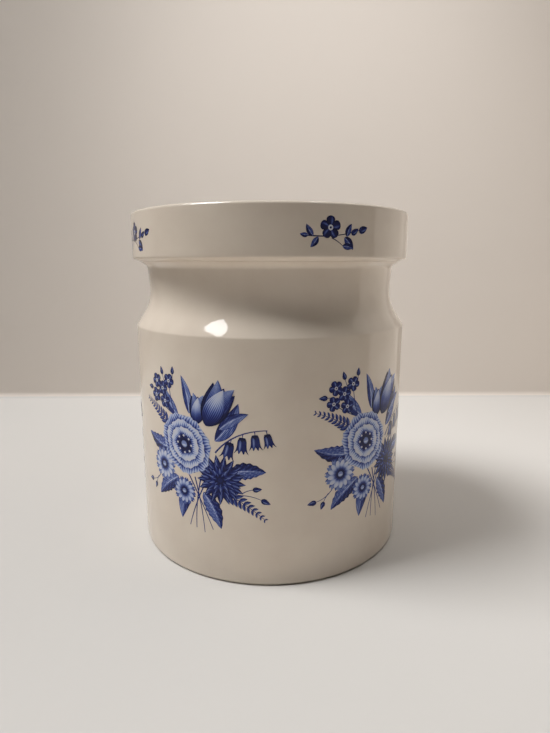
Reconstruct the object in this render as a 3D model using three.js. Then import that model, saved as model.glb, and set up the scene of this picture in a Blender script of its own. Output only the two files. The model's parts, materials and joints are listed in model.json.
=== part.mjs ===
// A lidded ceramic canister for dry food: a slip-cast jar with a waisted neck, a hollow slip-cast
// lid whose plug drops into the jar's mouth, and the rubber seal ring in the plug's groove.
// Millimetres, +Z up, origin at the middle of the base.
import * as THREE from 'three';

// Jar: the outside, from the base up.
const BODY_RADIUS = 64.6;
const BODY_HEIGHT = 104.4;
const FLARE_RISE = 10.9;
const WAIST_RADIUS = 57.5;
const NECK_RISE = 14.5;
const NECK_SPREAD = 0.6;
const LIP_RISE = 3.2;
const LIP_SPREAD = 1.1;

// Jar: the clay's thickness and the foot.
const JAR_WALL = 5;
const JAR_FLOOR = 6;
const FOOT_RECESS = 2;
const FOOT_WIDTH = 6;

// Jar: fillets.
const FOOT_FILLET = 1.6;
const SHOULDER_FILLET = 1.8;
const WAIST_FILLET = 22;
const LIP_FILLET = 5;
const RIM_FILLET = 0.9;
const FLOOR_FILLET = 8;
const INNER_FILLET = 6;

// Lid: the band stands this far out past the jar's side, so that the two look flush.
const BAND_PROUD = 0.4;
const BAND_HEIGHT = 20.1;
const BEVEL_RISE = 1.1;
const LID_WALL = 5;
const BAND_FILLET = 1.2;
const LID_INNER_FILLET = 3;
const PLUG_FILLET = 1;
const PLUG_FLANGE = 2.5;
const GROOVE_DROP = 3.5;
const GROOVE_HEIGHT = 5;
const GROOVE_DEPTH = 2;

// Seal ring: thin fins on a band that lies in the plug's groove.
const FIN_COUNT = 3;
const FIN_ROOT = 1;
const FIN_TIP = 0.6;

// Clearances: under the lid's seat, round its plug, and round the seal ring on all sides.
const SEAT_CLEARANCE = 0.3;
const PLUG_CLEARANCE = 1.6;
const SEAL_CLEARANCE = 0.3;

// How finely the round shapes are cut.
const SEGMENTS = 64;
const ARC_STEP = THREE.MathUtils.degToRad(30);

// Sizes that follow from the ones above.
const LIP_RADIUS = WAIST_RADIUS + NECK_SPREAD + LIP_SPREAD;
const MOUTH_RADIUS = WAIST_RADIUS - JAR_WALL;
const FLARE_TOP = BODY_HEIGHT + FLARE_RISE;
const NECK_TOP = FLARE_TOP + NECK_RISE;
const JAR_HEIGHT = NECK_TOP + LIP_RISE;
const BAND_RADIUS = BODY_RADIUS + BAND_PROUD;
const LID_HEIGHT = BEVEL_RISE + BAND_HEIGHT;
const PLUG_RADIUS = MOUTH_RADIUS - PLUG_CLEARANCE;
const PLUG_BORE = PLUG_RADIUS - LID_WALL;
const GROOVE_RADIUS = PLUG_RADIUS - GROOVE_DEPTH;
const GROOVE_BOTTOM = -GROOVE_DROP - GROOVE_HEIGHT;
const PLUG_BOTTOM = GROOVE_BOTTOM - PLUG_FLANGE;

// The outline through corners given as [radius, height, fillet]. A corner with a fillet becomes an
// arc that is tangent to both its sides and takes at most half of the shorter one.
function outline(corners) {
  const at = corners.map(([radius, height]) => new THREE.Vector2(radius, height));
  return corners.flatMap(([, , fillet], index) => {
    if (!fillet) return [at[index]];
    const back = at[index - 1].clone().sub(at[index]);
    const ahead = at[index + 1].clone().sub(at[index]);
    const half = back.angleTo(ahead) / 2;
    const room = Math.min(back.length(), ahead.length()) / 2;
    const reach = Math.min(fillet / Math.tan(half), room);
    back.normalize();
    ahead.normalize();
    const middle = back.clone().add(ahead).normalize();
    const centre = at[index].clone().addScaledVector(middle, reach / Math.cos(half));
    const first = at[index].clone().addScaledVector(back, reach).sub(centre);
    const last = at[index].clone().addScaledVector(ahead, reach).sub(centre);
    const turn = Math.atan2(first.cross(last), first.dot(last));
    const steps = Math.ceil(Math.abs(turn) / ARC_STEP);
    const axis = new THREE.Vector2();
    return Array.from({ length: steps + 1 }, (_, step) =>
      first.clone().rotateAround(axis, (turn * step) / steps).add(centre));
  });
}

// A solid of revolution. The lathe turns its outline about Y, and the part stands on Z.
function turned(name, corners, material) {
  const mesh = new THREE.Mesh(new THREE.LatheGeometry(outline(corners), SEGMENTS), material);
  mesh.name = name;
  mesh.rotation.x = Math.PI / 2;
  return mesh;
}

const glaze = { color: '#e4ddd2', roughness: 0.12, metalness: 0 };

// The jar: foot ring and side, flare and neck on the outside, then over the rim, down the straight
// mouth and along the inside of the flare and the side to the floor.
function makeJar() {
  const insideRadius = BODY_RADIUS - JAR_WALL;
  const floorTop = FOOT_RECESS + JAR_FLOOR;
  const footInside = BODY_RADIUS - FOOT_FILLET - FOOT_WIDTH;
  const flareAngle = Math.atan2(BODY_RADIUS - WAIST_RADIUS, FLARE_RISE);
  const insideShoulder = BODY_HEIGHT - JAR_WALL * Math.tan(flareAngle / 2);
  const insideFlareTop = insideShoulder + FLARE_RISE;
  return turned('jar', [
    [0, FOOT_RECESS],
    [footInside - FOOT_RECESS, FOOT_RECESS],
    [footInside, 0],
    [BODY_RADIUS, 0, FOOT_FILLET],
    [BODY_RADIUS, BODY_HEIGHT, SHOULDER_FILLET],
    [WAIST_RADIUS, FLARE_TOP, WAIST_FILLET],
    [WAIST_RADIUS + NECK_SPREAD, NECK_TOP, LIP_FILLET],
    [LIP_RADIUS, JAR_HEIGHT, RIM_FILLET],
    [MOUTH_RADIUS, JAR_HEIGHT, RIM_FILLET],
    [MOUTH_RADIUS, insideFlareTop, INNER_FILLET],
    [insideRadius, insideShoulder, INNER_FILLET],
    [insideRadius, floorTop, FLOOR_FILLET],
    [0, floorTop],
  ], new THREE.MeshStandardMaterial(glaze));
}

// The lid, with its seat at height 0: the wall is as thick all over as slip casting leaves it, so the
// lid is hollow and open through the plug. From the ceiling down the inside, round the plug's end,
// up past the groove, out along the seat and the bevel, and up the band.
function makeLid() {
  const ceiling = LID_HEIGHT - LID_WALL;
  const insideRadius = BAND_RADIUS - LID_WALL;
  return turned('lid', [
    [0, ceiling],
    [insideRadius, ceiling, LID_INNER_FILLET],
    [insideRadius, LID_WALL, LID_INNER_FILLET],
    [PLUG_BORE, LID_WALL, LID_INNER_FILLET],
    [PLUG_BORE, PLUG_BOTTOM, PLUG_FILLET],
    [PLUG_RADIUS, PLUG_BOTTOM, PLUG_FILLET],
    [PLUG_RADIUS, GROOVE_BOTTOM],
    [GROOVE_RADIUS, GROOVE_BOTTOM],
    [GROOVE_RADIUS, -GROOVE_DROP],
    [PLUG_RADIUS, -GROOVE_DROP],
    [PLUG_RADIUS, 0],
    [LIP_RADIUS, 0],
    [BAND_RADIUS, BEVEL_RISE, BAND_FILLET],
    [BAND_RADIUS, LID_HEIGHT, BAND_FILLET],
    [0, LID_HEIGHT],
  ], new THREE.MeshStandardMaterial(glaze));
}

// The seal ring, at its place on the lid: a band in the groove, and fins that reach for the mouth.
function makeSealRing() {
  const inside = GROOVE_RADIUS + SEAL_CLEARANCE;
  const finRadius = MOUTH_RADIUS - SEAL_CLEARANCE;
  const bottom = GROOVE_BOTTOM + SEAL_CLEARANCE;
  const top = -GROOVE_DROP - SEAL_CLEARANCE;
  const pitch = (top - bottom - FIN_ROOT) / (FIN_COUNT - 1);
  const fins = Array.from({ length: FIN_COUNT }, (_, fin) => {
    const middle = bottom + FIN_ROOT / 2 + fin * pitch;
    return [
      [PLUG_RADIUS, middle - FIN_ROOT / 2],
      [finRadius, middle - FIN_TIP / 2],
      [finRadius, middle + FIN_TIP / 2],
      [PLUG_RADIUS, middle + FIN_ROOT / 2],
    ];
  }).flat();
  return turned('seal_ring', [
    [inside, bottom],
    ...fins,
    [inside, top],
    [inside, bottom],
  ], new THREE.MeshStandardMaterial({ color: '#d9d6cf', roughness: 0.55, metalness: 0 }));
}

const lidGroup = new THREE.Group();
lidGroup.position.z = JAR_HEIGHT + SEAT_CLEARANCE;
lidGroup.add(makeLid(), makeSealRing());

const canister = new THREE.Group();
canister.add(makeJar(), lidGroup);

export default canister;
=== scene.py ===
"""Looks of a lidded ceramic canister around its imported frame: glazed jar and lid, prints, seal ring."""

import json
import math
from typing import NamedTuple

import bmesh
import bpy
import numpy as np
from mathutils import Euler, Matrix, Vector


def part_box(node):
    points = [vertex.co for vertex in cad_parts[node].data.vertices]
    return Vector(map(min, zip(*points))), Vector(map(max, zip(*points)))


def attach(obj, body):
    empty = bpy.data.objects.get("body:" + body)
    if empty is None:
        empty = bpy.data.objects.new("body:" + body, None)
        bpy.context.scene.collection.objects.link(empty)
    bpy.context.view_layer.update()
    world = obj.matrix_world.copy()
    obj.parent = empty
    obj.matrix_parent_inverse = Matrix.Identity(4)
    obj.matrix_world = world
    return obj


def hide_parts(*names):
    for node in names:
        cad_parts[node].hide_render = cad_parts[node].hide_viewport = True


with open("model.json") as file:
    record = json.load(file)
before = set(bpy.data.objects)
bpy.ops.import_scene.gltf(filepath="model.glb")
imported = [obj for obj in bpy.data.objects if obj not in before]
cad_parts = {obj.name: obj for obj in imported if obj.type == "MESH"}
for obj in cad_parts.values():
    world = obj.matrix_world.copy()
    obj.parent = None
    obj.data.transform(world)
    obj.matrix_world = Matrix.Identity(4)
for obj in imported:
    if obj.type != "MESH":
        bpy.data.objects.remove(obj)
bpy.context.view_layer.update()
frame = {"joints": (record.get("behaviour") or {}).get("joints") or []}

bl_info = {
    "name": "Ceramic Canister",
    "version": (1, 0, 0),
    "blender": (4, 5, 0),
    "location": "3D View > Sidebar > Canister",
    "description": "Glazed jar and lid with flower prints, the seal ring between them, and a plain stage",
    "category": "Object",
}

MM = 0.001

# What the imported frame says: the boxes of its nodes, and the height of the lid's seat, where the lid turns.
JAR_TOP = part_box("jar")[1]
LID_BOTTOM, LID_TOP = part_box("lid")
SEAL_BOTTOM, SEAL_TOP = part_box("seal_ring")
SEAT_HEIGHT = next(joint["pos_m"][2] for joint in frame["joints"] if joint["name"] == "lid_turn")

# How far the wiped, bare clay reaches up the edges of the foot and the seat.
BARE_RISE = 0.24 * MM

# How finely the turned pieces are cut, where an edge counts as hard, and which points count as one.
SEGMENTS = 256
ROW_LENGTH = 2.5 * MM
ARC_STEP = math.radians(9)
CREASE = math.radians(35)
SAME_POINT = 1e-7
WELD_REACH = 1e-6


def linear(hex_colour):
    """An sRGB colour such as #dcd3c6 as the three linear values that Blender works with."""
    coded = np.array([int(hex_colour[at:at + 2], 16) for at in (1, 3, 5)]) / 255
    return tuple(np.where(coded <= 0.04045, coded / 12.92, ((coded + 0.055) / 1.055) ** 2.4).tolist())


def length(name, description, default):
    """A length property, in metres."""
    return bpy.props.FloatProperty(
        name=name, description=description, default=default, unit="LENGTH", precision=5)


def angle(name, description, degrees):
    """An angle property, its default given in degrees."""
    default = math.radians(degrees)
    return bpy.props.FloatProperty(name=name, description=description, default=default, subtype="ANGLE")


def colour(name, description, hex_colour):
    """A colour property, its default given as an sRGB hex value."""
    return bpy.props.FloatVectorProperty(
        name=name, description=description, default=linear(hex_colour), size=3, min=0, max=1, subtype="COLOR")


def share(name, description, default):
    """A property from 0 to 1."""
    return bpy.props.FloatProperty(
        name=name, description=description, default=default, min=0, max=1, subtype="FACTOR")


def watts(name, description, default):
    """The power of a lamp."""
    return bpy.props.FloatProperty(
        name=name, description=description, default=default, min=0, unit="POWER")


# Settings


class JarShape(bpy.types.PropertyGroup):
    """Sizes of the jar, from its foot up."""

    body_radius: length("Body Radius", "Outside radius of the straight side", JAR_TOP.x)
    height: length("Height", "From the foot to the rim", JAR_TOP.z)
    body_height: length("Body Height", "Where the flare starts", 104.4 * MM)
    flare_rise: length("Flare Rise", "Height of the flare between side and neck", 10.9 * MM)
    waist_radius: length("Waist Radius", "Outside radius at the foot of the neck", 57.5 * MM)
    neck_spread: length("Neck Spread", "How much the neck widens up to the lip", 1.1 * MM)
    lip_rise: length("Lip Rise", "Height of the lip", 2.0 * MM)
    lip_spread: length("Lip Spread", "How far the lip turns out", 3.0 * MM)
    wall: length("Wall", "Thickness of the cast wall", 5 * MM)
    floor: length("Floor", "Thickness of the floor", 6 * MM)
    foot_recess: length("Foot Recess", "Depth of the hollow inside the foot ring", 2 * MM)
    foot_width: length("Foot Width", "Width of the foot ring", 6 * MM)
    foot_fillet: length("Foot Fillet", "Rounding of the foot", 1.6 * MM)
    shoulder_fillet: length("Shoulder Fillet", "Rounding between side and flare", 1.8 * MM)
    waist_fillet: length("Waist Fillet", "Hollow between flare and neck", 22 * MM)
    lip_fillet: length("Lip Fillet", "Hollow under the lip", 2.2 * MM)
    lip_edge: length("Lip Edge", "Rounding of the rim's outer edge", 0.06 * MM)
    rim_fillet: length("Rim Fillet", "Rounding of the rim's inner edge", 0.9 * MM)
    floor_fillet: length("Floor Fillet", "Hollow between floor and wall inside", 8 * MM)
    inner_fillet: length("Inner Fillet", "Rounding of the flare inside", 6 * MM)


class LidShape(bpy.types.PropertyGroup):
    """Sizes of the lid. Heights are from its seat up."""

    print_room: length(
        "Print Room", "How far the band stays inside the frame's radius, for the prints", 0.08 * MM)
    bevel_rise: length("Bevel Rise", "How far the underside rises from the seat to the band", 1.1 * MM)
    wall: length("Wall", "Thickness of the cast wall", 5 * MM)
    seat_gap: length(
        "Seat Gap", "How far the seat comes below the frame's, down to a hairline over the rim", 0.28 * MM)
    sag: length("Sag", "How far the top sank in the kiln", 0.4 * MM)
    band_fillet: length("Band Fillet", "Rounding of the band's edges", 1.2 * MM)
    inner_fillet: length("Inner Fillet", "Hollows inside the lid", 3 * MM)
    plug_radius: length("Plug Radius", "Outside radius of the plug", 50.9 * MM)
    plug_fillet: length("Plug Fillet", "Rounding of the plug's end", 1 * MM)
    groove_drop: length("Groove Drop", "From the seat down to the groove", 3.5 * MM)
    groove_height: length("Groove Height", "Height of the groove", 5 * MM)
    groove_depth: length("Groove Depth", "Depth of the groove", 2 * MM)
    groove_fillet: length("Groove Fillet", "Softness of the groove's edges under the glaze", 0.35 * MM)
    seat_edge: length("Seat Edge", "Rounding of the seat's outer edge", 0.05 * MM)


class SealShape(bpy.types.PropertyGroup):
    """Sizes and colours of the seal ring."""

    band_radius: length("Band Radius", "Inside radius of the ring's band", 49.2 * MM)
    root_radius: length("Root Radius", "Radius where the fins start", 50.9 * MM)
    fin_count: bpy.props.IntProperty(name="Fins", description="Number of fins", default=3, min=2)
    fin_root: length("Fin Root", "Thickness of a fin at its root", 1 * MM)
    fin_tip: length("Fin Tip", "Thickness of a fin at its tip", 0.6 * MM)
    fillet: length("Fillet", "Rounding of the moulded edges", 0.25 * MM)
    milky: colour("Silicone", "Milky silicone", "#dedbd4")
    dusty: colour("Dusty Silicone", "Silicone where dust clings", "#cfcac0")
    dust: length("Dust", "Size of the patches of dust", 6 * MM)


class GlazeLook(bpy.types.PropertyGroup):
    """The glaze and the bare clay."""

    glaze: colour("Glaze", "Off-white glaze", "#dbcfc0")
    pooled: colour("Pooled Glaze", "Glaze where it lies a little thicker", "#d7cabb")
    speck: colour("Speck", "Iron specks in the clay that show through", "#7d6f5e")
    clay: colour("Clay", "Bare fired clay of the foot and the seat", "#cbbba2")
    mottle: length("Mottle", "Size of the clouds in the glaze", 14 * MM)
    speck_spacing: length("Speck Spacing", "Mean distance between places that may hold a speck", 13 * MM)
    speck_radius: length("Speck Radius", "Radius of the largest specks", 0.35 * MM)
    speck_depth: share("Speck Depth", "How strongly a speck shows through", 0.75)
    wave: length("Wave", "Size of the slow unevenness left by casting and glazing", 30 * MM)
    wave_height: length("Wave Height", "Height of that unevenness", 0.10 * MM)
    peel: length("Peel", "Size of the fine ripple of the melted glaze", 2.4 * MM)
    peel_height: length("Peel Height", "Height of that ripple", 0.0025 * MM)
    roughness: share("Roughness", "Roughness of the melted glaze", 0.05)
    clay_roughness: share("Clay Roughness", "Roughness of the bare clay", 0.85)


class PrintLook(bpy.types.PropertyGroup):
    """The prints: where they sit, and the blues from bare to full."""

    spray_count: bpy.props.IntProperty(name="Sprays", description="Sprays round the jar", default=5, min=1)
    spray_turn: angle("First Spray", "Where the first spray sits, to the right of the front", -29)
    spray_height: length("Spray Height", "Height of a spray's middle above the foot", 55.5 * MM)
    sprig_height: length("Sprig Height", "Height of a sprig's middle above the seat", 10.6 * MM)
    film: length("Film", "How far the lowest ink stands proud of the glaze", 0.015 * MM)
    step: length("Step", "How far each shape lies above the one that it covers", 0.011 * MM)
    depth: length("Depth", "How deep the ink's back is sunk into the glaze", 0.3 * MM)
    line_depth: share("Line Depth", "Strength of the engraved lines", 0.30)
    gloss: share("Gloss", "Mirror level of the ink, which fires a little duller than the glaze's 0.5", 0.25)
    bare: colour("Bare", "Ink 0: the glaze, cooled by the blue round it", "#d2cfcd")
    pale: colour("Pale", "Ink 0.3", "#b0bcd9")
    middle: colour("Middle", "Ink 0.55", "#566aab")
    deep: colour("Deep", "Ink 0.78", "#1c2970")
    full: colour("Full", "Ink 1", "#06082e")


class StageLook(bpy.types.PropertyGroup):
    """The floor, the backdrop, the light and the camera."""

    floor: colour("Floor", "Pale floor", "#c6c3bf")
    wall: colour("Backdrop", "Backdrop behind the floor", "#ded5cc")
    wall_distance: length("Backdrop Distance", "From the canister's axis back to the backdrop", 0.243)
    fade_start: length("Fade Start", "Distance from the canister where the papers start to fade", 0.5)
    fade_end: length("Fade End", "Distance where only the room is seen", 0.8)
    opening: length("Opening", "Radius of the see-through place under the foot", JAR_TOP.x - 1.8 * MM)
    room: share("Room", "Strength of the light all round", 0.02)
    seen: share("Seen", "Strength of the room as seen", 0.38)
    room_tint: colour("Room Tint", "Colour of the room and of the light that it gives back", "#fff3e6")
    key: watts("Key", "Soft light on the left", 10.9)
    glow: watts("Glow", "Light given back by the floor in front", 0.06)
    window: watts("Window", "Light in the highlights", 0.85)
    panel: watts("Panel", "Pale panel on the right", 0.54)
    edge: watts("Edge", "The panel's mirrored end by the backdrop", 0.016)
    wash: watts("Wash", "Light on the backdrop", 11)
    pool: watts("Pool", "Light on the floor in front", 4.5)
    lift: watts("Lift", "Light in the shadow", 8)
    under: watts("Under", "Light on the base", 2)
    camera_distance: length("Camera Distance", "From the canister's axis to the camera", 0.2545)
    camera_height: length("Camera Height", "Height of the camera above the floor", 0.1321)
    camera_pitch: angle("Camera Pitch", "How far the camera looks down", 11.42)
    camera_turn: angle("Camera Turn", "How far the camera looks to the right", 0.55)
    lens: bpy.props.FloatProperty(
        name="Lens", description="Focal length in millimetres", default=24.94, min=1, unit="CAMERA")


# Surfaces


def rounded(corners):
    """Outline through corners (radius, height, fillet), in metres.

    A corner with a fillet becomes an arc that is tangent to both its sides and takes at most half of the
    shorter one; a straight run longer than a row is cut into equal rows.
    """
    corner = np.array([at[:2] for at in corners], float)
    runs = [corner[:1]]
    for before, here, after, fillet in zip(corner, corner[1:], corner[2:], [at[2] for at in corners[1:]]):
        sides = np.array([before - here, after - here])
        reach_of_sides = np.linalg.norm(sides, axis=1, keepdims=True)
        sides = sides / reach_of_sides
        half = math.acos(np.clip(sides[0] @ sides[1], -1, 1)) / 2
        reach = min(fillet / math.tan(half), reach_of_sides.min() / 2)
        middle = sides.sum(0) / np.linalg.norm(sides.sum(0))
        centre = here + middle * reach / math.cos(half)
        first, last = here + reach * sides - centre
        turn = math.atan2(first[0] * last[1] - first[1] * last[0], first @ last)
        turns = np.linspace(0, turn, 2 + int(abs(turn) / ARC_STEP))[:, None]
        across = np.array([-first[1], first[0]])
        runs.append(centre + np.cos(turns) * first + np.sin(turns) * across)
    runs.append(corner[-1:])
    points = np.concatenate(runs)
    points = points[np.append(True, np.linalg.norm(np.diff(points, axis=0), axis=1) > SAME_POINT)]
    steps = np.diff(points, axis=0)
    counts = np.ceil(np.linalg.norm(steps, axis=1) / ROW_LENGTH).astype(int)
    run = np.repeat(np.arange(len(steps)), counts)
    part = (np.arange(counts.sum()) - np.repeat(np.cumsum(counts) - counts, counts)) / counts[run]
    return np.concatenate([points[run] + part[:, None] * steps[run], points[-1:]])


def turned(outline):
    """Surface of revolution: at each angle a the outline's point (radius, height) goes to
    (radius sin a, -radius cos a, height), and neighbours on the grid of outline and angle form quads."""
    radius, height = outline.T[:, :, None]
    turn = np.linspace(0, 2 * np.pi, SEGMENTS, endpoint=False)
    points = np.stack(np.broadcast_arrays(radius * np.sin(turn), -radius * np.cos(turn), height), -1)
    index = np.arange(len(outline) * SEGMENTS).reshape(len(outline), SEGMENTS)
    beside = np.roll(index, -1, axis=1)
    faces = np.stack([index[:-1], beside[:-1], beside[1:], index[1:]], -1)
    return points.reshape(-1, 3), faces.reshape(-1, 4)


def add_piece(name, points, faces, material, point_values=None, print_map=None):
    """Makes a mesh object at the origin from arrays of points and quads, with one value per point for each
    named attribute and, where given, a UV map."""
    mesh = bpy.data.meshes.new(name)
    mesh.from_pydata(points, [], faces)
    for label, values in (point_values or {}).items():
        mesh.attributes.new(label, "FLOAT", "POINT").data.foreach_set("value", values.astype(np.float32))
    if print_map is not None:
        layer = mesh.uv_layers.new(name="print")
        layer.data.foreach_set("uv", print_map[faces.ravel()].astype(np.float32).ravel())
    mesh.materials.append(material)
    mesh.shade_smooth()
    piece = bpy.data.objects.new(name, mesh)
    bpy.context.scene.collection.objects.link(piece)
    return piece


def weld(piece):
    """Merges the points that meet at a pole or a seam, and keeps hard edges hard."""
    shape = bmesh.new()
    shape.from_mesh(piece.data)
    bmesh.ops.remove_doubles(shape, verts=shape.verts, dist=WELD_REACH)
    shape.to_mesh(piece.data)
    shape.free()
    piece.data.set_sharp_from_angle(angle=CREASE)


# Flat shapes of the prints, in millimetres

# The share of its half width that a blade keeps at its ends, how many levels a ring's petal leans over
# the next, and the cells of the map that a pile is measured on.
BLUNT = 0.03
RING_LEAN = 0.9
PILE_CELL = 2.0
PILE_CELLS = 64


class Patch(NamedTuple):
    """One leaf, petal or stem laid flat: a grid of points with its ink, from 0 bare to 1 full."""

    points: np.ndarray
    uv: np.ndarray
    ink: np.ndarray
    level: np.ndarray
    faces: np.ndarray


def edge_leaf(u):
    """Half width of a leaf: a sine with its belly towards the root."""
    return np.sin(np.pi * u ** 0.8) ** 0.85


def edge_petal(u, widest=0.68):
    """Half width of a petal: a quarter sine up to the widest place, then a quarter ellipse to the tip."""
    swell = np.sin(0.5 * np.pi * np.minimum(u / widest, 1)) ** 0.8
    tip = np.sqrt(np.maximum(1 - (np.maximum(u - widest, 0) / (1 - widest)) ** 2, 0))
    return swell * tip


def edge_fan(u, widest=0.75):
    """Half width of a ruffled petal: a quarter sine up to the widest place, then a parabola to a wide tip."""
    swell = np.sin(0.5 * np.pi * np.minimum(u / widest, 1)) ** 0.8
    return swell * (1 - 0.3 * (np.maximum(u - widest, 0) / (1 - widest)) ** 2)


def edge_round(u):
    """Half width of a circle."""
    return np.sqrt(np.maximum(1 - (2 * u - 1) ** 2, 0))


def edge_stem(u):
    """Half width of a stem, which tapers to half."""
    return 1 - 0.5 * u


def edge_bell(u):
    """Half width of a bell: quick to swell at the crown, then a mouth that opens with the fourth power."""
    return 0.4 + 0.22 * np.sin(0.5 * np.pi * np.minimum(u / 0.3, 1)) + 0.42 * u ** 4


def ink_leaf(u, v, tone):
    """Leaf: one half darker than the other, with a pale rib, pale veins and a dark rim."""
    rib = np.exp(-(v / 0.10) ** 2)
    veins = (0.5 + 0.5 * np.cos(2 * np.pi * (6 * u - 1.7 * np.abs(v)))) ** 4
    rim = np.clip((np.abs(v) - 0.8) / 0.2, 0, 1)
    side = np.where(v > 0, 0.08, -0.14)
    return tone + side - 0.42 * rib * (1 - u) - 0.24 * veins * (1 - rim) + 0.12 * rim


def ink_petal(u, v, tone, depth=0.5, soft=0.08):
    """Petal: full ink at its root, which fades round the depth by a logistic curve, a pale fold, and shade
    on the side that lies under the next petal."""
    light = 1 / (1 + np.exp((depth - u) / soft))
    shade = 0.5 * np.clip(-v, 0, 1) ** 1.5
    fold = np.exp(-((v - 0.25) / 0.2) ** 2) * u * (1 - u)
    return tone + (0.98 - tone) * (1 - light * (1 - shade)) - 0.3 * fold


def ink_dark(u, v, tone):
    """Dark shape with a pale streak on one side and a darker rim."""
    streak = np.exp(-((v + 0.35) / 0.22) ** 2) * np.sin(np.pi * u)
    rim = np.clip((np.abs(v) - 0.8) / 0.2, 0, 1)
    return tone - 0.42 * streak + 0.1 * rim


def ink_spike(u, v, tone):
    """Pointed petal: dark, with a pale ridge towards its tip."""
    ridge = np.exp(-(v / 0.35) ** 2) * np.clip(1.6 * u - 0.5, 0, 1)
    return tone - 0.5 * ridge


def ink_flat(u, v, tone):
    """The same tone all over."""
    return tone + 0 * u * v


def spine(root, degrees, size, bow, u):
    """Point and direction at u on a spine that leaves the root at an angle: a straight line plus a parabola
    that bows out by half of bow times the size in its middle."""
    way = np.array([math.cos(math.radians(degrees)), math.sin(math.radians(degrees))])
    side = np.array([-way[1], way[0]])
    u = np.asarray(u, float)[..., None]
    centre = np.array(root, float) + u * size * way + 2 * u * (1 - u) * bow * size * side
    tangent = way + 2 * (1 - 2 * u) * bow * side
    return centre, tangent / np.linalg.norm(tangent, axis=-1, keepdims=True)


def blade(root, degrees, size, half_width, edge, ink, tone, bow=0.0, rows=11, columns=7, start=0.0,
          lean=0.0, lobes=0, lobe_depth=0.0, tip_round=0.0, teeth=0, tooth_depth=0.0, **ink_more):
    """A patch along a spine: u runs from start to 1 along it and v from -1 to 1 across, and a point lies v
    times the edge's half width off the spine. Lobes are cosine notches in the tip, which a parabola
    rounds, and teeth a saw along the sides. With lean the v = 1 side lies up to one level higher, so that
    the petals of a ring overlap in turn."""
    pace = np.linspace(0, 1, rows)[:, None]
    pace = pace if teeth else 0.5 - 0.5 * np.cos(np.pi * pace)
    u = start + (1 - start) * pace
    v = np.linspace(-1, 1, columns)[None, :]
    notch = lobe_depth * (0.5 - 0.5 * np.cos(np.pi * lobes * (v + 1))) + tip_round * v ** 2
    along = u * (1 - notch)
    centre, tangent = spine(root, degrees, size, bow, along)
    normal = np.stack([-tangent[..., 1], tangent[..., 0]], -1)
    saw = 1 - tooth_depth * np.abs((u * teeth) % 1 - 0.5) * 2
    width = half_width * np.maximum(edge(along) * saw, BLUNT)
    points = centre + normal * (width * v)[..., None]
    uv = np.stack(np.broadcast_arrays(pace, 0.5 + 0.5 * v), -1)
    tones = np.clip(ink(u, v, tone, **ink_more), 0, 1)
    level = np.broadcast_to(lean * (0.5 + 0.5 * v), tones.shape)
    index = np.arange(rows * columns).reshape(rows, columns)
    faces = np.stack([index[:-1, :-1], index[1:, :-1], index[1:, 1:], index[:-1, 1:]], -1)
    return [Patch(points.reshape(-1, 2), uv.reshape(-1, 2), tones.ravel(), level.ravel(),
                  faces.reshape(-1, 4))]


def cells_of(patch):
    """The cells of the pile's map that a patch lies in."""
    return tuple((np.floor(patch.points / PILE_CELL).astype(int) + PILE_CELLS // 2).T)


def stacked(*groups):
    """Lays groups of patches on each other like paper cuttings: a map of square cells holds how high the
    pile is, and each group starts at the height of the highest cell that it covers."""
    pile = np.zeros((PILE_CELLS, PILE_CELLS))
    laid = []
    for group in groups:
        base = max(pile[cells_of(patch)].max() for patch in group)
        for patch in group:
            cells = cells_of(patch)
            pile[cells] = np.maximum(pile[cells], base + 1 + patch.level.max())
            laid.append(patch._replace(level=patch.level + base))
    return laid


def leaf(root, degrees, size, half_width, tone=0.82, bow=0.1, teeth=0):
    """A leaf, with a saw edge if it has teeth."""
    rows = 4 * teeth + 1 if teeth else 15
    return blade(root, degrees, size, half_width, edge_leaf, ink_leaf, tone, bow, rows=rows, columns=9,
                 teeth=teeth, tooth_depth=0.16 if teeth else 0.0)


def stem(root, degrees, size, bow=0.0, half_width=0.32, tone=0.8):
    """A stem that leaves its root at an angle."""
    return blade(root, degrees, size, half_width, edge_stem, ink_flat, tone, bow, rows=13, columns=3)


def stem_to(root, tip, bow=0.0, half_width=0.24, tone=0.8):
    """A stem between two points."""
    across, up = np.subtract(tip, root)
    return stem(root, math.degrees(math.atan2(up, across)), math.hypot(across, up), bow, half_width, tone)


def bud(root, degrees, size, half_width, tone=0.86):
    """A closed bud between two sepals."""
    sepals = [blade(root, degrees + lean, 0.6 * size, 0.34 * half_width, edge_leaf, ink_dark, tone=0.95,
                    bow=lean / 90, rows=7, columns=5)
              for lean in (-24, 24)]
    return stacked(blade(root, degrees, size, half_width, edge_leaf, ink_dark, tone, rows=9), *sepals)


def sprout(root, degrees, size, bow, bud_size, tone=0.86):
    """A thin stem with a bud at its end."""
    tip, way = spine(root, degrees, size, bow, 1.0)
    turn = math.degrees(math.atan2(way[1], way[0]))
    return stacked(stem(root, degrees, size, bow, 0.2), bud(tip, turn, bud_size, 0.25 * bud_size, tone))


def ring(centre, count, reach, half_width, edge, ink, tone, turn=0.0, **more):
    """Petals at equal angles round a centre, each leaning over the next."""
    return [patch for petal in range(count)
            for patch in blade(centre, turn + 360 * petal / count, reach, half_width, edge, ink, tone,
                               lean=RING_LEAN, **more)]


def dot(centre, radius, tone, ink=ink_flat, rows=9, columns=7):
    """A round spot."""
    left = (centre[0] - radius, centre[1])
    return blade(left, 0, 2 * radius, radius, edge_round, ink, tone, rows=rows, columns=columns)


def slanted(patches, centre, degrees, factor):
    """Draws patches together along one direction, as a flower seen at a slant."""
    way = np.array([math.cos(math.radians(degrees)), math.sin(math.radians(degrees))])
    pull = (1 - factor) * np.outer(way, way)
    return [patch._replace(points=patch.points - (patch.points - centre) @ pull) for patch in patches]


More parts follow.
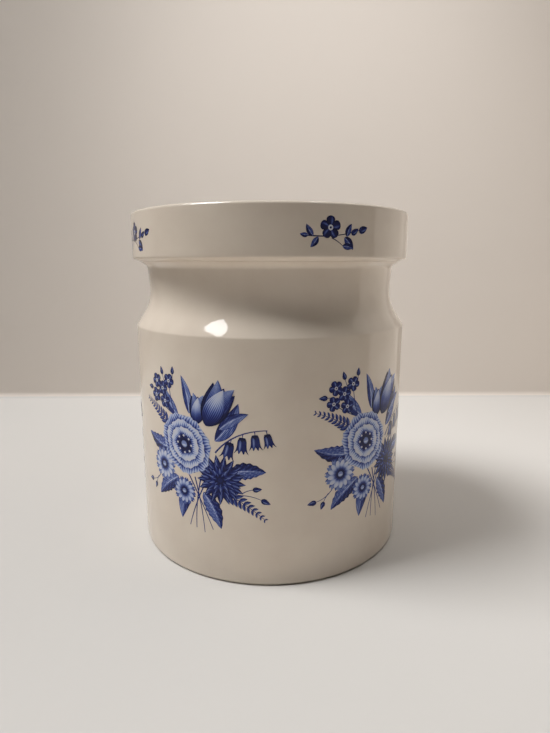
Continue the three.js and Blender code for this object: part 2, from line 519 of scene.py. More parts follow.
def anemone(centre, radius, turn):
    """Three rings of wide petals, dark in the throat, round a dark eye with a ring of seeds."""
    rings = [ring(centre, count, reach * radius, width * radius, edge_fan, ink_petal, tone, turn + twist,
                  rows=17, columns=13, start=start, lobes=3, lobe_depth=0.06, tip_round=0.22, depth=depth)
             for count, reach, width, tone, twist, depth, start in (
                 (7, 1.0, 0.5, 0.2, 0, 0.84, 0.4),
                 (6, 0.8, 0.42, 0.1, 24, 0.75, 0.3),
                 (5, 0.56, 0.34, 0.1, 50, 0.62, 0))]
    seed_count = 16
    angles = 2 * np.pi * np.arange(seed_count) / seed_count
    places = np.array(centre) + 0.27 * radius * np.stack([np.cos(angles), np.sin(angles)], -1)
    seeds = [patch for number, place in enumerate(places)
             for patch in dot(place, 0.035 * radius, 0.95 if number % 2 else 0.05, rows=5, columns=5)]
    return stacked(*rings, dot(centre, 0.2 * radius, 0.97), seeds, dot(centre, 0.11 * radius, 0.5, ink_dark))


def dahlia(centre, radius, turn):
    """Five rings of pointed petals round a dark eye."""
    rings = [ring(centre, count, reach * radius, 0.17 * radius * (0.6 + 0.4 * reach), edge_leaf, ink_spike,
                  tone, turn + 31 * reach, rows=9, columns=7, start=start)
             for count, reach, tone, start in (
                 (17, 1.0, 0.98, 0.4), (15, 0.84, 0.9, 0.3), (13, 0.66, 0.98, 0.25),
                 (10, 0.48, 0.86, 0.15), (7, 0.3, 0.98, 0))]
    return stacked(*rings, dot(centre, 0.1 * radius, 0.9))


def daisy(centre, radius, turn, tone=0.3):
    """Two rings of narrow petals round a dark eye."""
    petals = 13
    outer = ring(centre, petals, radius, 0.2 * radius, edge_petal, ink_petal, tone + 0.2, turn,
                 rows=11, columns=9, start=0.2, lobes=1, lobe_depth=0.1, depth=0.7)
    inner = ring(centre, petals, 0.82 * radius, 0.16 * radius, edge_petal, ink_petal, tone - 0.15, turn + 14,
                 start=0.15, depth=0.5)
    return stacked(outer, inner, dot(centre, 0.27 * radius, 0.95), dot(centre, 0.16 * radius, 0.5, ink_dark))


def star(centre, radius, turn, tone=0.88):
    """Five round petals and a pale eye."""
    petals = ring(centre, 5, radius, 0.42 * radius, edge_petal, ink_dark, tone, turn, rows=9)
    eye = dot(centre, 0.24 * radius, 0.08)
    return stacked(petals, eye, dot(centre, 0.11 * radius, 0.9, rows=5, columns=5))


def tulip(root, degrees, size):
    """Three dark petals behind, two at the sides and one in front."""
    back = [blade(root, degrees + lean, reach * size, width * size, edge_leaf, ink_dark, tone, -lean / 400,
                  rows=15, columns=9)
            for lean, reach, width, tone in (
                (16, 0.92, 0.2, 0.95), (-16, 0.92, 0.2, 0.95), (0, 0.9, 0.24, 0.9))]
    sides = [blade(root, degrees + lean, size, 0.2 * size, edge_leaf, ink_petal, 0.4, bow,
                   rows=15, columns=11, depth=0.62, soft=0.2)
             for lean, bow in ((11, -0.13), (-11, 0.13))]
    front = blade(root, degrees, 0.86 * size, 0.21 * size, edge_leaf, ink_petal, 0.12,
                  rows=15, columns=11, depth=0.48, soft=0.16)
    return stacked(*back, *sides, front)


def bell(root, degrees, size, tone=0.86):
    """A bell with a scalloped mouth under three sepals."""
    cup = blade(root, degrees, size, 0.44 * size, edge_bell, ink_dark, tone,
                rows=13, columns=17, lobes=3, lobe_depth=0.22)
    sepals = [patch for lean in (-50, 0, 50)
              for patch in blade(root, degrees + lean, 0.3 * size, 0.08 * size, edge_leaf, ink_flat, 0.97,
                                 rows=7, columns=5)]
    return stacked(cup, sepals)


def frond(root, degrees, size, pairs, bow):
    """Pairs of leaflets along a bowed stem, smaller towards the tip."""
    leaflets = []
    for u in np.linspace(0.2, 0.98, pairs):
        place, way = spine(root, degrees, size, bow, u)
        turn = math.degrees(math.atan2(way[1], way[0]))
        reach = 0.22 * size * (1.05 - 0.75 * u)
        for side in (-1, 1):
            leaflets += blade(place, turn + 46 * side, reach, 0.22 * reach, edge_leaf, ink_dark, 0.82,
                              0.12 * side, rows=9, columns=5)
    return stacked(stem(root, degrees, size, bow, 0.22), leaflets)


def bell_spray(root, degrees, size, bow, places, bell_size):
    """Bells that hang from a bowed stem, smaller towards its tip."""
    groups = [stem(root, degrees, size, bow, 0.36)]
    for u in places:
        place, _ = spine(root, degrees, size, bow, u)
        # Nearly straight down, and a little outwards towards the stem's tip.
        hang = -95 + 45 * (u - 0.6)
        tip, _ = spine(place, hang, 1.5, 0.1, 1.0)
        groups += [stem(place, hang, 1.6, 0.1, 0.24), bell(tip, hang, bell_size * (1.15 - 0.35 * u))]
    return stacked(*groups)


def large_spray():
    """The bunch on the jar: an anemone and a dahlia, tulips above, bells and fronds at the sides, daisies
    below. Places are from its middle, and angles counter-clockwise from the right."""
    stems = [stem(root, degrees, size, bow) for root, degrees, size, bow in (
        ((0, -10), -80, 24.5, 0.05), ((3, -10), -97, 23, -0.07),
        ((-4, -8), -63, 27, 0.04), ((5, -12), -112, 22, -0.05))]
    fronds = [frond((-12, 9), 152, 21, pairs=9, bow=-0.1), frond((12, -14), -32, 22, pairs=9, bow=0.1)]
    bells = bell_spray((10, 2), 26, 24, bow=0.24, places=(0.38, 0.6, 0.8, 0.98), bell_size=7.4)
    leaves = [leaf(root, degrees, size, half_width, tone, bow, teeth)
              for root, degrees, size, half_width, tone, bow, teeth in (
                  ((10, 7), 58, 19, 3.4, 0.84, -0.14, 0), ((16, -6), 4, 15, 3.8, 0.86, 0.12, 6),
                  ((-11, 0), 170, 20, 4.0, 0.86, 0.14, 7), ((-9, -12), -140, 18, 4.0, 0.84, -0.12, 7),
                  ((4, -16), -62, 17, 3.8, 0.82, 0.12, 6), ((-3, -14), -106, 17, 3.4, 0.8, -0.12, 0),
                  ((-8, 15), 128, 15, 2.6, 0.8, 0.14, 0), ((-2, 17), 104, 16, 2.2, 0.76, -0.12, 0),
                  ((12, 12), 30, 14, 2.4, 0.78, 0.12, 0))]
    star_places = ((-17.5, 25.5), (-22.5, 21.8), (-13.2, 29.2), (-16.0, 20.2), (-21.6, 28.2))
    stalks = [stem_to((-10, 15), place, 0.08) for place in star_places]
    stars = [star(place, 3.2, 10 + 27 * number) for number, place in enumerate(star_places)]
    sprouts = [sprout(root, degrees, size, bow, bud_size) for root, degrees, size, bow, bud_size in (
        ((-18, 23), 168, 7.5, -0.1, 3.8), ((-14.5, 26), 118, 6, 0.1, 3.6), ((-12, 27), 76, 5.4, -0.1, 3.4),
        ((17, -16), -4, 12, 0.2, 4.2), ((21, -14.6), 24, 5, 0.15, 3.8),
        ((-22, -14), -146, 9, 0.2, 4.0), ((-24, -16), -122, 4, -0.1, 3.6))]
    tulips = [tulip((1.5, 13), 84, 13), tulip((6, 13), 62, 20)]
    daisies = [daisy((-18.5, -8.5), 7.6, 8), daisy((-6.0, -17.5), 6.4, 20, tone=0.42)]
    middle = np.array((-5, 3.5))
    return stacked(
        *stems, *fronds, bells, *leaves, *stalks, *sprouts, *stars, *tulips, *daisies,
        dahlia((12, -9.5), 10.8, 5), slanted(anemone(middle, 14.2, 12), middle, degrees=50, factor=0.9))


def small_sprig():
    """The twig on the lid: one star flower, two buds and six leaves."""
    twigs = [stem((-11.5, -1.5), 6, 22, -0.1, half_width=0.26, tone=0.94),
             stem((-2, -2.4), -32, 6, 0.1, half_width=0.2, tone=0.94)]
    leaves = [leaf(root, degrees, size, half_width, tone=0.92) for root, degrees, size, half_width in (
        ((-9.5, -1.7), 122, 5.0, 1.2), ((-7.6, -2.0), -128, 4.8, 1.2), ((3.4, -2.1), -48, 6.0, 1.6),
        ((4.4, -1.8), 66, 5.2, 1.3), ((2.6, -5.3), -8, 5, 1.3), ((-11.4, -1.4), 172, 3.2, 0.9))]
    buds = [bud((10.2, 0.2), 22, 4.4, 1.4, tone=0.94), bud((6.6, -0.9), 34, 3.8, 1.1, tone=0.92)]
    return stacked(*twigs, *leaves, *buds, star((-2.6, 1.4), 4.3, 18, tone=0.95))


def add_print(name, patches, radius, turn, height, material, look):
    """Rolls flat patches round an upright cylinder: a point s across and t up goes to the angle turn plus s
    over the radius and the height plus t, and stands out by the film and its level's steps. The back is
    sunk into the glaze, and the edges round each patch are hard."""
    counts = [len(patch.points) for patch in patches]
    first = np.cumsum(counts) - counts
    across, up = (np.concatenate([patch.points for patch in patches]) * MM).T
    level = np.concatenate([patch.level for patch in patches])
    out = radius + look.film + look.step * level
    around = turn + across / radius
    points = np.stack([out * np.sin(around), -out * np.cos(around), height + up], -1)
    faces = np.concatenate([patch.faces + start for patch, start in zip(patches, first)])
    uv = np.concatenate([patch.uv for patch in patches])
    ink = np.concatenate([patch.ink for patch in patches])
    piece = add_piece(name, points, faces, material, {"ink": ink}, uv)
    ends = np.empty((len(piece.data.edges), 2), np.int32)
    piece.data.edges.foreach_get("vertices", ends.ravel())
    first_uv, second_uv = uv[ends[:, 0]], uv[ends[:, 1]]
    at_end = np.isclose(first_uv, 0) | np.isclose(first_uv, 1)
    on_border = (np.isclose(first_uv, second_uv) & at_end).any(1)
    piece.data.attributes.new("sharp_edge", "BOOLEAN", "EDGE").data.foreach_set("value", on_border)
    film = piece.modifiers.new("film", "SOLIDIFY")
    film.thickness = look.depth
    film.offset = -1
    return piece


# Materials


def add_node(tree, kind, inputs=None, **settings):
    """Adds a node with its settings; an input is a value, or a socket that is linked to it."""
    made = tree.nodes.new(kind)
    for name, value in settings.items():
        setattr(made, name, value)
    for name, value in (inputs or {}).items():
        if isinstance(value, bpy.types.NodeSocket):
            tree.links.new(value, made.inputs[name])
        else:
            made.inputs[name].default_value = value
    return made


def new_material(name):
    """An empty node material and its tree."""
    material = bpy.data.materials.new(name)
    material.use_nodes = True
    material.node_tree.nodes.clear()
    return material, material.node_tree


def solid(rgb):
    """A colour with alpha, as colour sockets take it."""
    return (*rgb, 1.0)


def glaze_bump(tree, place, look):
    """Normal of a poured glaze: slow waves from casting and the fine ripple of the melt."""
    waves = add_node(tree, "ShaderNodeTexNoise", {"Vector": place, "Scale": 1 / look.wave, "Detail": 1.0})
    ripple = add_node(tree, "ShaderNodeTexNoise", {"Vector": place, "Scale": 1 / look.peel, "Detail": 1.0})
    slow = add_node(tree, "ShaderNodeBump", {"Height": waves.outputs["Fac"], "Distance": look.wave_height})
    fine = add_node(tree, "ShaderNodeBump", {
        "Height": ripple.outputs["Fac"], "Distance": look.peel_height, "Normal": slow.outputs["Normal"]})
    return fine.outputs["Normal"]


def glazed_earthenware(look):
    """Slip-cast earthenware under a poured off-white glaze: a smooth glassy coat with soft clouds, a few iron
    specks and slightly wavy reflections, and dry biscuit clay where the foot and the seat were wiped bare."""
    material, tree = new_material("glazed_earthenware")
    place = add_node(tree, "ShaderNodeTexCoord").outputs["Object"]
    clouds = add_node(tree, "ShaderNodeTexNoise", {"Vector": place, "Scale": 1 / look.mottle, "Detail": 3.0})
    cloud = add_node(tree, "ShaderNodeMapRange", {
        "Value": clouds.outputs["Fac"], "From Min": 0.35, "From Max": 0.65})
    glaze = add_node(tree, "ShaderNodeMix", {
        "Factor": cloud.outputs["Result"], "A": solid(look.glaze), "B": solid(look.pooled)}, data_type="RGBA")
    # A cell holds a speck only if its random number is high, and the number also sets the speck's size.
    cells = add_node(tree, "ShaderNodeTexVoronoi", {"Vector": place, "Scale": 1 / look.speck_spacing})
    number = add_node(tree, "ShaderNodeSeparateColor", {"Color": cells.outputs["Color"]})
    size = add_node(tree, "ShaderNodeMapRange", {
        "Value": number.outputs["Red"], "From Min": 0.55, "From Max": 1.0,
        "To Min": 0.0, "To Max": look.speck_radius / look.speck_spacing})
    near = add_node(tree, "ShaderNodeMath", {
        0: cells.outputs["Distance"], 1: size.outputs["Result"]}, operation="LESS_THAN")
    speck = add_node(tree, "ShaderNodeMath", {
        0: near.outputs["Value"], 1: look.speck_depth}, operation="MULTIPLY")
    specked = add_node(tree, "ShaderNodeMix", {
        "Factor": speck.outputs["Value"], "A": glaze.outputs["Result"], "B": solid(look.speck)},
        data_type="RGBA")
    bare = add_node(tree, "ShaderNodeAttribute", attribute_name="bare").outputs["Fac"]
    colours = add_node(tree, "ShaderNodeMix", {
        "Factor": bare, "A": specked.outputs["Result"], "B": solid(look.clay)}, data_type="RGBA")
    roughness = add_node(tree, "ShaderNodeMapRange", {
        "Value": bare, "To Min": look.roughness, "To Max": look.clay_roughness})
    shader = add_node(tree, "ShaderNodeBsdfPrincipled", {
        "Base Color": colours.outputs["Result"], "Roughness": roughness.outputs["Result"], "IOR": 1.5,
        "Normal": glaze_bump(tree, place, look)})
    add_node(tree, "ShaderNodeOutputMaterial", {"Surface": shader.outputs["BSDF"]})
    return material


def fired_ink(glaze_look, look):
    """Cobalt transfer fired into the glaze: as smooth as the glaze but a little duller, in blues from a
    breath of colour to nearly black, its half tones broken up by the fine lines of an engraved plate."""
    material, tree = new_material("fired_cobalt_ink")
    place = add_node(tree, "ShaderNodeTexCoord").outputs["Object"]
    ink = add_node(tree, "ShaderNodeAttribute", attribute_name="ink").outputs["Fac"]
    # About ten lines run the length of each petal or leaf, whatever its width; real ones are finer.
    lines = add_node(tree, "ShaderNodeTexWave", {
        "Vector": add_node(tree, "ShaderNodeUVMap", uv_map="print").outputs["UV"],
        "Scale": 3.2, "Distortion": 1.2, "Detail": 1.0}, bands_direction="Y")
    # Half tones show the lines; bare glaze and full ink don't. Ink times its rest is a quarter at most.
    light = add_node(tree, "ShaderNodeMath", {0: 1.0, 1: ink}, operation="SUBTRACT")
    half = add_node(tree, "ShaderNodeMath", {0: ink, 1: light.outputs["Value"]}, operation="MULTIPLY")
    depth = add_node(tree, "ShaderNodeMath", {
        0: half.outputs["Value"], 1: 4 * look.line_depth}, operation="MULTIPLY")
    swing = add_node(tree, "ShaderNodeMath", {0: lines.outputs["Fac"], 1: 0.5}, operation="SUBTRACT")
    lined = add_node(tree, "ShaderNodeMath", {
        0: swing.outputs["Value"], 1: depth.outputs["Value"], 2: ink}, operation="MULTIPLY_ADD")
    ramp = add_node(tree, "ShaderNodeValToRGB", {"Fac": lined.outputs["Value"]})
    stops = ((0.0, look.bare), (0.3, look.pale), (0.55, look.middle), (0.78, look.deep), (1.0, look.full))
    for at, _ in stops[1:-1]:
        ramp.color_ramp.elements.new(at)
    for element, (_, tint) in zip(ramp.color_ramp.elements, stops):
        element.color = solid(tint)
    shader = add_node(tree, "ShaderNodeBsdfPrincipled", {
        "Base Color": ramp.outputs["Color"], "Roughness": glaze_look.roughness, "IOR": 1.5,
        "Specular IOR Level": look.gloss, "Normal": glaze_bump(tree, place, glaze_look)})
    add_node(tree, "ShaderNodeOutputMaterial", {"Surface": shader.outputs["BSDF"]})
    return material


def silicone_rubber(look):
    """Moulded translucent silicone: milky, a little light passes under its satin surface, and dust clings
    to it."""
    material, tree = new_material("moulded_silicone")
    place = add_node(tree, "ShaderNodeTexCoord").outputs["Object"]
    dust = add_node(tree, "ShaderNodeTexNoise", {"Vector": place, "Scale": 1 / look.dust, "Detail": 4.0})
    tints = add_node(tree, "ShaderNodeMix", {
        "Factor": dust.outputs["Fac"], "A": solid(look.milky), "B": solid(look.dusty)}, data_type="RGBA")
    satin = add_node(tree, "ShaderNodeMapRange", {
        "Value": dust.outputs["Fac"], "To Min": 0.38, "To Max": 0.6})
    shader = add_node(tree, "ShaderNodeBsdfPrincipled", {
        "Base Color": tints.outputs["Result"], "Roughness": satin.outputs["Result"], "IOR": 1.41,
        "Subsurface Weight": 0.25, "Subsurface Radius": (1.0, 0.9, 0.8), "Subsurface Scale": 2 * MM})
    add_node(tree, "ShaderNodeOutputMaterial", {"Surface": shader.outputs["BSDF"]})
    return material


def seen_rays(tree):
    """1 for the rays that see a thing straight or mirrored, and 0 for those that carry its light."""
    path = add_node(tree, "ShaderNodeLightPath")
    mirrored = add_node(tree, "ShaderNodeMath", {
        0: path.outputs["Is Glossy Ray"], 1: path.outputs["Is Transmission Ray"]}, operation="MAXIMUM")
    seen = add_node(tree, "ShaderNodeMath", {
        0: path.outputs["Is Camera Ray"], 1: mirrored.outputs["Value"]}, operation="MAXIMUM")
    return seen.outputs["Value"]


def matte_paper(name, rgb, look):
    """Matte background paper that melts into the plain room far from the canister. Its back is see-through,
    so that it never hides the canister, and so is the place that the foot covers, so that light reaches
    the base."""
    material, tree = new_material(name)
    place = add_node(tree, "ShaderNodeTexCoord").outputs["Object"]
    distance = add_node(tree, "ShaderNodeVectorMath", {0: place}, operation="LENGTH").outputs["Value"]
    far = add_node(tree, "ShaderNodeMapRange", {
        "Value": distance, "From Min": look.fade_start, "From Max": look.fade_end})
    melted = add_node(tree, "ShaderNodeMath", {
        0: far.outputs["Result"], 1: seen_rays(tree)}, operation="MULTIPLY")
    paper = add_node(tree, "ShaderNodeBsdfDiffuse", {"Color": solid(rgb)})
    room = add_node(tree, "ShaderNodeEmission", {"Color": solid(look.room_tint), "Strength": look.seen})
    front = add_node(tree, "ShaderNodeMixShader", {
        "Fac": melted.outputs["Value"], 1: paper.outputs["BSDF"], 2: room.outputs["Emission"]})
    under = add_node(tree, "ShaderNodeMath", {0: distance, 1: look.opening}, operation="LESS_THAN")
    back = add_node(tree, "ShaderNodeNewGeometry").outputs["Backfacing"]
    clear = add_node(tree, "ShaderNodeMath", {0: back, 1: under.outputs["Value"]}, operation="MAXIMUM")
    glass = add_node(tree, "ShaderNodeBsdfTransparent")
    mixed = add_node(tree, "ShaderNodeMixShader", {
        "Fac": clear.outputs["Value"], 1: front.outputs["Shader"], 2: glass.outputs["BSDF"]})
    add_node(tree, "ShaderNodeOutputMaterial", {"Surface": mixed.outputs["Shader"]})
    return material


def glaze_material(scene):
    """The glaze, made once for jar and lid."""
    return bpy.data.materials.get("glazed_earthenware") or glazed_earthenware(scene.canister_glaze)


def ink_material(scene):
    """The ink, made once for all prints."""
    return bpy.data.materials.get("fired_cobalt_ink") or fired_ink(scene.canister_glaze, scene.canister_print)


# Operators


class CANISTER_OT_jar(bpy.types.Operator):
    """Turn the jar: foot ring, side, flare and neck outside, then over the rim and down to the floor"""

    bl_idname = "canister.jar"
    bl_label = "Jar"

    def execute(self, context):
        jar = context.scene.canister_jar
        mouth = jar.waist_radius - jar.wall
        inside = jar.body_radius - jar.wall
        foot_edge = jar.body_radius - jar.foot_fillet
        foot_inside = foot_edge - jar.foot_width
        flare_top = jar.body_height + jar.flare_rise
        lip = jar.waist_radius + jar.neck_spread + jar.lip_spread
        flare_angle = math.atan2(jar.body_radius - jar.waist_radius, jar.flare_rise)
        inside_shoulder = jar.body_height - jar.wall * math.tan(flare_angle / 2)
        floor_top = jar.foot_recess + jar.floor
        outline = rounded([
            (0, jar.foot_recess, 0),
            (foot_inside - jar.foot_recess, jar.foot_recess, jar.foot_recess / 2),
            (foot_inside, 0, jar.foot_recess / 4),
            (jar.body_radius, 0, jar.foot_fillet),
            (jar.body_radius, jar.body_height, jar.shoulder_fillet),
            (jar.waist_radius, flare_top, jar.waist_fillet),
            (jar.waist_radius + jar.neck_spread, jar.height - jar.lip_rise, jar.lip_fillet),
            (lip, jar.height, jar.lip_edge),
            (mouth, jar.height, jar.rim_fillet),
            (mouth, inside_shoulder + jar.flare_rise, jar.inner_fillet),
            (inside, inside_shoulder, jar.inner_fillet),
            (inside, floor_top, jar.floor_fillet),
            (0, floor_top, 0),
        ])
        points, faces = turned(outline)
        on_foot = points[:, 2] < BARE_RISE
        piece = add_piece("glazed_jar", points, faces, glaze_material(context.scene), {"bare": on_foot})
        weld(piece)
        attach(piece, "jar")
        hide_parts("jar")
        return {"FINISHED"}


class CANISTER_OT_lid(bpy.types.Operator):
    """Turn the lid: hollow inside, round the plug's end, past the groove, along the seat and up the band"""

    bl_idname = "canister.lid"
    bl_label = "Lid"

    def execute(self, context):
        jar = context.scene.canister_jar
        lid = context.scene.canister_lid
        band = LID_TOP.x - lid.print_room
        top = LID_TOP.z
        seat = SEAT_HEIGHT - lid.seat_gap
        bevel = SEAT_HEIGHT + lid.bevel_rise
        ceiling = top - lid.wall
        hollow = band - lid.wall
        bore = lid.plug_radius - lid.wall
        groove = lid.plug_radius - lid.groove_depth
        groove_top = SEAT_HEIGHT - lid.groove_drop
        groove_bottom = groove_top - lid.groove_height
        seat_edge = jar.waist_radius + jar.neck_spread + jar.lip_spread
        outline = rounded([
            (0, ceiling - lid.sag, 0),
            (hollow, ceiling, lid.inner_fillet),
            (hollow, SEAT_HEIGHT + lid.wall, lid.inner_fillet),
            (bore, SEAT_HEIGHT + lid.wall, lid.inner_fillet),
            (bore, LID_BOTTOM.z, lid.plug_fillet),
            (lid.plug_radius, LID_BOTTOM.z, lid.plug_fillet),
            (lid.plug_radius, groove_bottom, lid.groove_fillet),
            (groove, groove_bottom, lid.groove_fillet),
            (groove, groove_top, lid.groove_fillet),
            (lid.plug_radius, groove_top, lid.groove_fillet),
            (lid.plug_radius, seat, lid.groove_fillet),
            (seat_edge, seat, lid.seat_edge),
            (band, bevel, lid.band_fillet),
            (band, top, lid.band_fillet),
            (0, top - lid.sag, 0),
        ])
        points, faces = turned(outline)
        radius = np.hypot(points[:, 0], points[:, 1])
        level_with_seat = np.abs(points[:, 2] - seat) < BARE_RISE
        on_seat = level_with_seat & (radius > groove) & (radius < seat_edge)
        piece = add_piece("glazed_lid", points, faces, glaze_material(context.scene), {"bare": on_seat})
        weld(piece)
        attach(piece, "lid")
        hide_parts("lid")
        return {"FINISHED"}


class CANISTER_OT_seal(bpy.types.Operator):
    """Turn the seal ring: a band in the plug's groove with thin fins that reach for the mouth"""

    bl_idname = "canister.seal"
    bl_label = "Seal Ring"

    def execute(self, context):
        seal = context.scene.canister_seal
        low, high, tip = SEAL_BOTTOM.z, SEAL_TOP.z, SEAL_TOP.x
        middles = np.linspace(low + seal.fin_root / 2, high - seal.fin_root / 2, seal.fin_count)
        fins = [(radius, middle + way * thickness / 2, seal.fillet)
                for middle in middles
                for radius, thickness, way in (
                    (seal.root_radius, seal.fin_root, -1), (tip, seal.fin_tip, -1),
                    (tip, seal.fin_tip, 1), (seal.root_radius, seal.fin_root, 1))]
        half_height = (seal.band_radius, (low + high) / 2, 0)
        outline = rounded([half_height, (seal.band_radius, low, seal.fillet), *fins,
                           (seal.band_radius, high, seal.fillet), half_height])
        points, faces = turned(outline)
        piece = add_piece("silicone_seal_ring", points, faces, silicone_rubber(seal))
        weld(piece)
        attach(piece, "seal")
        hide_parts("seal_ring")
        return {"FINISHED"}


class CANISTER_OT_sprays(bpy.types.Operator):
    """Print the flower sprays on the jar's side"""

    bl_idname = "canister.sprays"
    bl_label = "Jar Sprays"

    def execute(self, context):
        look = context.scene.canister_print
        jar = context.scene.canister_jar
        patches = large_spray()
        for number in range(look.spray_count):
            turn = look.spray_turn + 2 * math.pi * number / look.spray_count
            piece = add_print(f"jar_spray_{number + 1}", patches, jar.body_radius, turn, look.spray_height,
                              ink_material(context.scene), look)
            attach(piece, "jar")
        return {"FINISHED"}


class CANISTER_OT_sprigs(bpy.types.Operator):
    """Print the small sprigs on the lid's band at the listed turns, spaced unevenly as on hand-applied
    transfers
    """

    bl_idname = "canister.sprigs"
    bl_label = "Lid Sprigs"

    # Degrees to the right of the front.
    turns = (22.5, 114.5, 206.5, 299)

    def execute(self, context):
        look = context.scene.canister_print
        band = LID_TOP.x - context.scene.canister_lid.print_room
        patches = small_sprig()
        for number, degrees in enumerate(self.turns):
            piece = add_print(f"lid_sprig_{number + 1}", patches, band, math.radians(degrees),
                              SEAT_HEIGHT + look.sprig_height, ink_material(context.scene), look)
            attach(piece, "lid")
        return {"FINISHED"}


class CANISTER_OT_stage(bpy.types.Operator):
    """Set the floor, the backdrop, the soft light and the camera"""

    bl_idname = "canister.stage"
    bl_label = "Stage"

    # Metres that the papers reach to the sides and the front, the backdrop's height, and the radius and rows
    # of the bend between floor and backdrop.
    reach = 3.0
    wall_height = 2.0
    cove = 0.006
    cove_rows = 9

    def execute(self, context):
        scene = context.scene
        look = scene.canister_stage
        self.add_papers(look)
        self.add_world(scene, look)
        middle = (0, 0, LID_TOP.z / 2)
        self.add_softbox("key", look.key, size=(0.76, 0.76), spread=90, target=middle,
                         azimuth=-83, elevation=59.5, distance=2.0)
        glow = self.add_softbox("glow", look.glow, size=(0.3, 0.16), spread=150, target=(0, -0.148, 0.1),
                                azimuth=0, elevation=-90, distance=0.098)
        window = self.add_softbox("window", look.window, size=(0.35, 0.28), spread=90, target=middle,
                                  azimuth=-63, elevation=54, distance=1.0)
        panel = self.add_softbox("panel", look.panel, size=(0.33, 0.7), spread=180,
                                 target=(0.018, -0.089, 0.35), azimuth=117, elevation=0, distance=0.4)
        edge = self.add_softbox("edge", look.edge, size=(0.16, 0.17), spread=180,
                                target=(0.22, -0.162, 0.17), azimuth=180, elevation=0, distance=0.4)
        # The window and the panel's end are only mirrored in the glaze, and the glow only lights it.
        glow.visible_glossy = False
        window.visible_diffuse = False
        edge.visible_diffuse = False
        for warm in (glow, panel, edge):
            warm.data.color = look.room_tint
        self.add_spot("wash", look.wash, cone=50, target=(0.05, look.wall_distance, 0.27),
                      azimuth=-3.5, elevation=44, distance=0.69)
        self.add_spot("pool", look.pool, cone=36, target=(-0.04, -0.27, 0),
                      azimuth=0, elevation=90, distance=0.8)
        self.add_spot("lift", look.lift, cone=30, target=(0.16, -0.02, 0),
                      azimuth=90, elevation=80, distance=0.9)
        self.add_spot("under", look.under, cone=60, target=(0, 0, 0),
                      azimuth=0, elevation=-90, distance=0.3)
        self.add_camera(scene, look)
        scene.view_settings.view_transform = "Standard"
        return {"FINISHED"}

    def add_papers(self, look):
        """The floor and the backdrop: a straight line and a quarter circle carried sideways."""
        bend = np.linspace(0, np.pi / 2, self.cove_rows)
        back = look.wall_distance - self.cove + self.cove * np.sin(bend)
        up = self.cove - self.cove * np.cos(bend)
        wall_start = len(bend) // 2
        floor_line = np.stack([np.append(-self.reach, back[:wall_start + 1]),
                               np.append(0, up[:wall_start + 1])], -1)
        wall_line = np.stack([np.append(back[wall_start:], back[-1]),
                              np.append(up[wall_start:], self.wall_height)], -1)
        for name, line, rgb in (("floor", floor_line, look.floor), ("backdrop", wall_line, look.wall)):
            sides = np.array([-self.reach, self.reach])[:, None]
            points = np.stack(np.broadcast_arrays(sides, line[:, 0], line[:, 1]), -1)
            index = np.arange(points[..., 0].size).reshape(2, -1)
            faces = np.stack([index[0, :-1], index[1, :-1], index[1, 1:], index[0, 1:]], -1)
            add_piece(name, points.reshape(-1, 3), faces, matte_paper(f"{name}_paper", rgb, look))

    def add_world(self, scene, look):
        """A dim room all round, and a paler one for rays that see it straight or mirrored."""
        world = bpy.data.worlds.new("dim_room")
        scene.world = world
        world.use_nodes = True
        tree = world.node_tree
        tree.nodes.clear()
        strength = add_node(tree, "ShaderNodeMix", {
            "Factor": seen_rays(tree), "A": look.room, "B": look.seen})
        light = add_node(tree, "ShaderNodeBackground", {
            "Color": solid(look.room_tint), "Strength": strength.outputs["Result"]})
        add_node(tree, "ShaderNodeOutputWorld", {"Surface": light.outputs["Background"]})

    def add_softbox(self, name, watts, size, spread, target, azimuth, elevation, distance):
        """A flat lamp that faces the target and beams within the spread."""
        lamp = bpy.data.lights.new(name, "AREA")
        lamp.shape = "RECTANGLE"
        lamp.size, lamp.size_y = size
        lamp.spread = math.radians(spread)
        lamp.energy = watts
        return self.hang(lamp, target, azimuth, elevation, distance)

    def add_spot(self, name, watts, cone, target, azimuth, elevation, distance):
        """A soft-edged round light that faces the target."""
        lamp = bpy.data.lights.new(name, "SPOT")
        lamp.spot_size = math.radians(cone)
        lamp.spot_blend = 1.0
        lamp.shadow_soft_size = 0.1
        lamp.energy = watts
        self.hang(lamp, target, azimuth, elevation, distance)

    def hang(self, lamp, target, azimuth, elevation, distance):
        """Hangs a lamp so that it faces the target; azimuth 0 is the camera's side, and it grows to the
        right."""
        across, up = math.radians(azimuth), math.radians(elevation)
        way = Vector((math.sin(across) * math.cos(up), -math.cos(across) * math.cos(up), math.sin(up)))
        holder = bpy.data.objects.new(lamp.name, lamp)
        holder.location = Vector(target) + distance * way
        holder.rotation_euler = way.to_track_quat("Z", "Y").to_euler()
        holder.visible_camera = False
        bpy.context.scene.collection.objects.link(holder)
        return holder

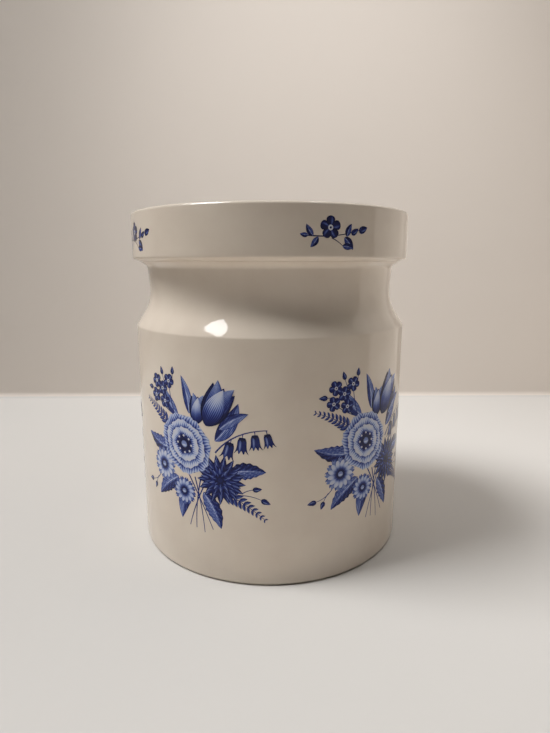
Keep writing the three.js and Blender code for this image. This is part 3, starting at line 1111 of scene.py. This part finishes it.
    def add_camera(self, scene, look):
        """The camera, at the height, distance and tilt worked out from the photograph's ellipses."""
        camera = bpy.data.objects.new("camera", bpy.data.cameras.new("camera"))
        camera.data.lens = look.lens
        camera.location = (0, -look.camera_distance, look.camera_height)
        camera.rotation_euler = Euler((math.pi / 2 - look.camera_pitch, 0, -look.camera_turn))
        camera.data.clip_start = 0.01
        scene.collection.objects.link(camera)
        scene.camera = camera


class VIEW3D_PT_canister(bpy.types.Panel):
    """The canister's sizes, looks and pieces"""

    bl_label = "Ceramic Canister"
    bl_space_type = "VIEW_3D"
    bl_region_type = "UI"
    bl_category = "Canister"

    def draw(self, context):
        for operator in OPERATORS:
            self.layout.operator(operator.bl_idname)
        for name in SETTINGS:
            box = self.layout.box()
            settings = getattr(context.scene, name)
            for field in settings.__annotations__:
                box.prop(settings, field)


SETTINGS = {
    "canister_jar": JarShape,
    "canister_lid": LidShape,
    "canister_seal": SealShape,
    "canister_glaze": GlazeLook,
    "canister_print": PrintLook,
    "canister_stage": StageLook,
}
OPERATORS = (
    CANISTER_OT_stage,
    CANISTER_OT_jar,
    CANISTER_OT_lid,
    CANISTER_OT_seal,
    CANISTER_OT_sprays,
    CANISTER_OT_sprigs,
)


def register():
    """Registers the classes and hangs the settings on the scene."""
    for name, settings in SETTINGS.items():
        bpy.utils.register_class(settings)
        setattr(bpy.types.Scene, name, bpy.props.PointerProperty(type=settings))
    for kind in (*OPERATORS, VIEW3D_PT_canister):
        bpy.utils.register_class(kind)


def unregister():
    """Takes away what register added."""
    for kind in (VIEW3D_PT_canister, *reversed(OPERATORS)):
        bpy.utils.unregister_class(kind)
    for name, settings in reversed(SETTINGS.items()):
        delattr(bpy.types.Scene, name)
        bpy.utils.unregister_class(settings)


def main():
    """Builds the stage and every piece."""
    register()
    bpy.ops.canister.stage()
    bpy.ops.canister.jar()
    bpy.ops.canister.lid()
    bpy.ops.canister.seal()
    bpy.ops.canister.sprays()
    bpy.ops.canister.sprigs()


if __name__ == "__main__":
    main()
